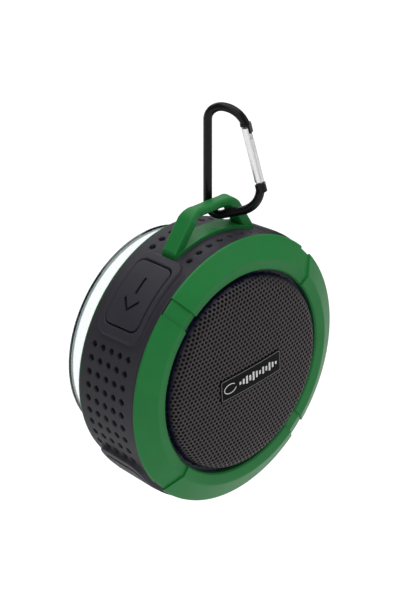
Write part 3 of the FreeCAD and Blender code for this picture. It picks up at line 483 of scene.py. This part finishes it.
def cell_centres(reach):
    """Centres of a staggered grid, turned to the pattern's angle."""
    rows = int(reach / (HOLE_PITCH * ROW_SHARE)) + 2
    columns = int(reach / HOLE_PITCH) + 2
    for row in range(-rows, rows + 1):
        for column in range(-columns, columns + 1):
            x = (column + 0.5 * (row % 2)) * HOLE_PITCH
            z = row * HOLE_PITCH * ROW_SHARE
            if math.hypot(x, z) < reach:
                yield x, z


def perforated_grille(material):
    """Sheet of six-sided cells bent over the dome and into the flange.

    Cells up to HOLES_TO have a round hole and the rest are plain. The sheet's outer rim, which lies under
    the front ring, has no wall between its two faces.
    """
    sheet = Sheet()
    points = []
    faces = []
    shared = {}
    cos_t, sin_t = math.cos(PATTERN_TURN), math.sin(PATTERN_TURN)

    def vertex(x, z, depth):
        key = (round(x, 4), round(z, 4), depth)
        if key not in shared:
            shared[key] = len(points)
            points.append(sheet.at(x * cos_t - z * sin_t, x * sin_t + z * cos_t, depth))
        return shared[key]

    corner = HOLE_PITCH / math.sqrt(3)
    side = HOLE_PITCH / 2
    for cx, cz in cell_centres(SHEET_REACH):
        rims = {}
        for depth in (0.0, GRILLE_WALL):
            rim = []
            for i in range(HOLE_SIDES):
                turn = math.radians(SIDE_TURN * i)
                reach = side if i % 2 == 0 else corner
                rim.append(vertex(cx + reach * math.cos(turn), cz + reach * math.sin(turn), depth))
            rims[depth] = rim
        front, back = rims[0.0], rims[GRILLE_WALL]
        if math.hypot(cx, cz) > HOLES_TO:
            faces.append(front)
            faces.append(back[::-1])
            continue
        holes = {}
        for depth in (0.0, GRILLE_WALL):
            ring = []
            for i in range(HOLE_SIDES):
                turn = math.radians(SIDE_TURN * i)
                ring.append(vertex(cx + HOLE_R * math.cos(turn), cz + HOLE_R * math.sin(turn), depth))
            holes[depth] = ring
        for i in range(HOLE_SIDES):
            j = (i + 1) % HOLE_SIDES
            faces.append((front[i], front[j], holes[0.0][j], holes[0.0][i]))
            faces.append((back[j], back[i], holes[GRILLE_WALL][i], holes[GRILLE_WALL][j]))
            faces.append((holes[0.0][i], holes[0.0][j], holes[GRILLE_WALL][j], holes[GRILLE_WALL][i]))
    piece = add_piece("perforated_grille", points, faces, material, "housing", smooth=False)
    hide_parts("grille")


# ---------------------------------------------------------------- rubber sleeve

SLEEVE_WALL = 2.1
SLEEVE_END_R = 0.5
COLUMNS = 900
ROWS = 88
PAD_ANGLES = (135.5, 44.5, 234.0, 306.0)
PAD_MID = -24.1
FRAME_HALF = (15.1, 9.4)
FRAME_CORNER = 4.0
FRAME_RISE = 1.5
FRAME_FOOT = 0.9                     # width of the soft slope from the band up to a frame
OPENING_HALF = (11.24, 7.24)
OPENING_CORNER = 2.64
OPENING_EDGE_R = 0.6
LOOP_ANGLE = 90.0
PORT_ANGLE = 270.0
ISLAND_HOLE = (17.25, 3.05)
ISLAND_CORNER = 1.55
ISLAND_MID = -24.3
PORT_HOLE = (5.7, 5.57)
PORT_CORNER = 0.5
PORT_MID = -19.83
DIMPLE_R = 1.10
DIMPLE_FLAT_R = 0.72
DIMPLE_DEPTH = 1.3
FLANK_ROWS = 9
FLANK_FIRST = 72                     # degrees from the loop to the first dimples of a flank
FLANK_STEP = 6.3                     # degrees
FLANK_MID = -23.05
FLANK_PITCH = 3.85
TOP_ROWS = (-31.4, -15.4)            # Y of the rows before and behind the loop
TOP_COUNT = 4
TOP_FIRST = 3.1                      # degrees
TOP_STEP = 6.2                       # degrees
FAR_AWAY = 99.0                      # stands for any distance on the drum's other half
SNAP_PASSES = 2
SNAP_REACH = 0.55                    # of a row's height: points nearer an opening's edge are drawn onto it
SNAP_LEAST_SLOPE = 0.3
OPEN_MARGIN = 0.02


def sleeve_radius(y):
    share = (SLEEVE_REAR - y) / (SLEEVE_REAR - SLEEVE_FRONT)
    return SLEEVE_REAR_R + (SLEEVE_FRONT_R - SLEEVE_REAR_R) * share


def rounded_distance(u, v, half, corner):
    """Signed distance to a rounded rectangle about the origin, negative inside."""
    qu = np.abs(u) - half[0] + corner
    qv = np.abs(v) - half[1] + corner
    outside = np.hypot(np.maximum(qu, 0), np.maximum(qv, 0))
    return outside + np.minimum(np.maximum(qu, qv), 0) - corner


def across(theta, radius, centre):
    """Sideways distance from an angle round the drum; far away on the drum's other half."""
    off = theta - math.radians(centre)
    return np.where(np.cos(off) > 0, -radius * np.sin(off), FAR_AWAY)


def openings_distance(theta, y):
    radius = sleeve_radius(y)
    near = rounded_distance(across(theta, radius, LOOP_ANGLE), y - ISLAND_MID, ISLAND_HOLE, ISLAND_CORNER)
    port = rounded_distance(across(theta, radius, PORT_ANGLE), y - PORT_MID, PORT_HOLE, PORT_CORNER)
    near = np.minimum(near, port)
    for angle in PAD_ANGLES:
        pad = rounded_distance(across(theta, radius, angle), y - PAD_MID, OPENING_HALF, OPENING_CORNER)
        near = np.minimum(near, pad)
    return near


def dimple_centres():
    """Angle and Y of every dimple: five columns down each flank, rows before and behind the loop."""
    for side in (1, -1):
        for row in range(FLANK_ROWS):
            for column in range(-2, 3):
                angle = LOOP_ANGLE + side * (FLANK_FIRST + row * FLANK_STEP)
                yield angle, FLANK_MID + column * FLANK_PITCH
        for step in range(TOP_COUNT):
            for y in TOP_ROWS:
                yield LOOP_ANGLE + side * (TOP_FIRST + TOP_STEP * step), y


def smooth(x):
    x = np.clip(x, 0, 1)
    return x * x * (3 - 2 * x)


def outer_height(theta, y):
    """Radius of the rubber's outer face."""
    base = sleeve_radius(y)
    rise = np.zeros_like(base)
    for angle in PAD_ANGLES:
        side = across(theta, base + FRAME_RISE, angle)
        outline = rounded_distance(side, y - PAD_MID, FRAME_HALF, FRAME_CORNER)
        lift = FRAME_RISE * smooth((FRAME_FOOT * 0.4 - outline) / FRAME_FOOT)
        opening = rounded_distance(across(theta, base, angle), y - PAD_MID, OPENING_HALF, OPENING_CORNER)
        inwards = np.clip(OPENING_EDGE_R - opening, 0, OPENING_EDGE_R)
        lift -= np.where(outline < 0, OPENING_EDGE_R - np.sqrt(OPENING_EDGE_R ** 2 - inwards ** 2), 0)
        rise = np.where(np.abs(lift) > 1e-6, lift, rise)
    radius = base + rise
    for angle, mid in dimple_centres():
        away = np.hypot(base * np.sin(theta - math.radians(angle)), y - mid)
        away = np.where(np.cos(theta - math.radians(angle)) > 0, away, FAR_AWAY)
        radius -= DIMPLE_DEPTH * (1 - smooth((away - DIMPLE_FLAT_R) / (DIMPLE_R - DIMPLE_FLAT_R)))
    end = np.minimum(SLEEVE_REAR - y, y - SLEEVE_FRONT)
    inwards = np.clip(SLEEVE_END_R - end, 0, SLEEVE_END_R)
    return radius - (SLEEVE_END_R - np.sqrt(np.maximum(SLEEVE_END_R ** 2 - inwards ** 2, 0)))


def moulded_sleeve(material):
    """Rubber band with soft raised frames, dimples, and openings for the pads, the loop and the port.

    The openings' walls run along the radius, so they narrow inwards and meet the pads' parallel sides
    near the pads' lower edges.
    """
    theta = np.repeat(np.arange(COLUMNS)[:, None] * 2 * math.pi / COLUMNS, ROWS, 1)
    y = np.repeat(np.linspace(SLEEVE_REAR, SLEEVE_FRONT, ROWS)[None, :], COLUMNS, 0)
    step = (SLEEVE_REAR - SLEEVE_FRONT) / (ROWS - 1)
    for _ in range(SNAP_PASSES):
        near = openings_distance(theta, y)
        slope_t = (openings_distance(theta + 1e-4, y) - near) / 1e-4 / SLEEVE_FRONT_R
        slope_y = (openings_distance(theta, y + 1e-3) - near) / 1e-3
        steep = np.maximum(slope_t ** 2 + slope_y ** 2, 1e-6)
        snap = (np.abs(near) < SNAP_REACH * step) & (steep > SNAP_LEAST_SLOPE)
        theta = np.where(snap, theta - near * slope_t / steep / SLEEVE_FRONT_R, theta)
        y = np.where(snap, y - near * slope_y / steep, y)
    outer = outer_height(theta, y)
    inner = sleeve_radius(y) - SLEEVE_WALL
    points = np.concatenate([np.stack([r * np.cos(theta), y, r * np.sin(theta)], -1).reshape(-1, 3)
                             for r in (outer, inner)]) * MM
    number = np.arange(COLUMNS * ROWS).reshape(COLUMNS, ROWS)
    beyond = np.roll(number, -1, 0)
    quads = np.stack([number[:, :-1], number[:, 1:], beyond[:, 1:], beyond[:, :-1]], -1).reshape(-1, 4)
    keep = openings_distance(theta, y).reshape(-1)[quads].mean(1) > OPEN_MARGIN
    quads = quads[keep]
    edges = np.concatenate([quads[:, [i, (i + 1) % 4]] for i in range(4)])
    known = {(a, b) for a, b in edges.tolist()}
    rim = np.array([(a, b) for a, b in known if (b, a) not in known])
    rim = rim[np.lexsort((rim[:, 1], rim[:, 0]))]
    count = COLUMNS * ROWS
    walls = np.stack([rim[:, 1], rim[:, 0], rim[:, 0] + count, rim[:, 1] + count], -1)
    faces = np.concatenate([quads, quads[:, ::-1] + count, walls])
    used = np.unique(faces)
    place = np.full(2 * count, -1)
    place[used] = np.arange(len(used))
    piece = add_piece("moulded_sleeve", points[used].tolist(), place[faces].tolist(), material,
                      "housing")
    piece.data.set_sharp_from_angle(angle=math.radians(55))
    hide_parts("rubber_sleeve")


# ---------------------------------------------------------------- name plate

PLATE_HALF = (13.25, 3.8)
PLATE_CORNER = 1.0
PLATE_RISE = 0.34                    # above the dome
PLATE_TURN = math.radians(7.0)
PRINT_RISE = 0.03
CORNER_STEPS = 6
PLATE_LEVELS = (                     # inset from the outline and rise, from the foot over the border line
    (0.0, -0.1), (0.0, PLATE_RISE - 0.08), (0.07, PLATE_RISE), (0.30, PLATE_RISE),
    (0.34, PLATE_RISE + 0.05), (0.50, PLATE_RISE + 0.05), (0.54, PLATE_RISE),
    (1.0, PLATE_RISE), (2.2, PLATE_RISE),
)
BORDER_LEVELS = (3, 4, 5)
PRINT_FOOT = 0.02                    # of the print, below the plate's face
MARK_MID = -9.3
MARK_R = (2.6, 1.7)
MARK_WIDTH = 0.28
MARK_FROM = 40                       # degrees
MARK_SWEEP = 310                     # degrees
MARK_STEPS = 28
BAR_FIRST = -5.4
BAR_PITCH = 1.45
BAR_WIDTH = 0.75
BAR_HEIGHTS = (1.0, 1.8, 2.7, 1.9, 3.0, 2.2, 1.3, 2.4, 1.6, 2.8, 1.8, 1.0)


def dome_y(x, z, rise):
    """Y of the grille's dome under a point, moved outwards by rise."""
    edge_r, edge_y = DOME_EDGE
    drop = edge_y - DOME_TOP
    ball = (edge_r ** 2 + drop ** 2) / (2 * drop)
    return DOME_TOP + ball - math.sqrt(ball ** 2 - x * x - z * z) - rise


def plate_point(u, v, rise):
    """Point of the plate from its own across and up, in metres."""
    x = u * math.cos(PLATE_TURN) - v * math.sin(PLATE_TURN)
    z = u * math.sin(PLATE_TURN) + v * math.cos(PLATE_TURN)
    return (x * MM, dome_y(x, z, rise) * MM, z * MM)


def rounded_loop(half_u, half_v, corner):
    """Outline of a rounded rectangle, anticlockwise, with extra points along its long sides."""
    points = []
    for index, (su, sv) in enumerate(((1, 1), (-1, 1), (-1, -1), (1, -1))):
        for i in range(CORNER_STEPS + 1):
            turn = math.radians(90 * (index + i / CORNER_STEPS))
            points.append((su * (half_u - corner) + corner * math.cos(turn),
                           sv * (half_v - corner) + corner * math.sin(turn)))
        if index in (0, 2):
            end = points[-1]
            for i in range(1, 16):
                points.append((end[0] * (1 - i / 8), end[1]))
    return points


def name_plate(gloss, edge):
    """Low glossy plate that follows the dome, with a fine raised border line."""
    points = []
    for inset, rise in PLATE_LEVELS:
        corner = max(PLATE_CORNER - inset, 0.15)
        outline = rounded_loop(PLATE_HALF[0] - inset, PLATE_HALF[1] - inset, corner)
        points += [plate_point(u, v, rise) for u, v in outline]
    size = len(points) // len(PLATE_LEVELS)
    faces = []
    for level in range(len(PLATE_LEVELS) - 1):
        for i in range(size):
            j = (i + 1) % size
            faces.append((level * size + i, level * size + j, (level + 1) * size + j, (level + 1) * size + i))
    top = (len(PLATE_LEVELS) - 1) * size
    faces += strip_across(top, size)
    faces += [face[::-1] for face in strip_across(0, size)]
    piece = add_piece("name_plate", points, faces, gloss, "housing")
    piece.data.set_sharp_from_angle(angle=math.radians(40))
    piece.data.materials.append(edge)
    for level in BORDER_LEVELS:
        for i in range(size):
            piece.data.polygons[level * size + i].material_index = 1
    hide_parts("badge")


def strip_across(start, size):
    """Faces that close a loop by joining points opposite each other, left half to right half."""
    faces = []
    a, b = 0, size - 1
    while b - a > 2:
        faces.append((start + a, start + a + 1, start + b - 1, start + b))
        a, b = a + 1, b - 1
    faces.append((start + a, start + a + 1, start + b))
    if b - a == 3:
        faces.append((start + a + 1, start + a + 2, start + b))
    return faces


def plate_print(ink):
    """Plain printed motif: an open ring and a row of level bars."""
    points = []
    faces = []

    def patch(outline):
        start = len(points)
        count = len(outline)
        points.extend(plate_point(u, v, PLATE_RISE + PRINT_RISE) for u, v in outline)
        points.extend(plate_point(u, v, PLATE_RISE - PRINT_FOOT) for u, v in outline)
        faces.append(tuple(range(start, start + count)))
        faces.append(tuple(range(start + 2 * count - 1, start + count - 1, -1)))
        for i in range(count):
            j = (i + 1) % count
            faces.append((start + j, start + i, start + count + i, start + count + j))

    for i in range(MARK_STEPS):
        block = []
        for k, inset in ((i, 0.0), (i + 1, 0.0), (i + 1, MARK_WIDTH), (i, MARK_WIDTH)):
            turn = math.radians(MARK_FROM + MARK_SWEEP * k / MARK_STEPS)
            block.append((MARK_MID + (MARK_R[0] - inset) * math.cos(turn),
                          (MARK_R[1] - inset) * math.sin(turn)))
        patch(block)
    for i, height in enumerate(BAR_HEIGHTS):
        u = BAR_FIRST + BAR_PITCH * i
        end = u + BAR_WIDTH
        patch([(u, -height / 2), (end, -height / 2), (end, height / 2), (u, height / 2)])
    add_piece("name_plate_print", points, faces, ink, "housing", smooth=False)


# ---------------------------------------------------------------- the scene

def main():
    finishes = make_finishes()
    dress_cad_nodes(finishes)
    add_studio()
    add_camera()
    perforated_grille(finishes["grille_metal"])
    moulded_sleeve(finishes["rubber"])
    name_plate(finishes["badge_gloss"], finish("plate_edge", (0.08, 0.08, 0.08), 0.3, relief=0.003))
    plate_print(finish("plate_ink", (0.55, 0.55, 0.55), 0.4, relief=0.002))
    # Pad rubber turns black deeper than 0.56 mm below the pad's face: this blackens the sunk marks and is
    # painted shade on the deep side walls in the gap round each pad.
    pad_marks_and_gap_shade = sunk_dark_rubber("pad_rubber", SLEEVE_CONE_R + PAD_FACE_RISE, *PAD_DARK)
    for name in ("pad_previous", "pad_next", "pad_power", "pad_play"):
        NODES[name].data.materials[0] = pad_marks_and_gap_shade


main()
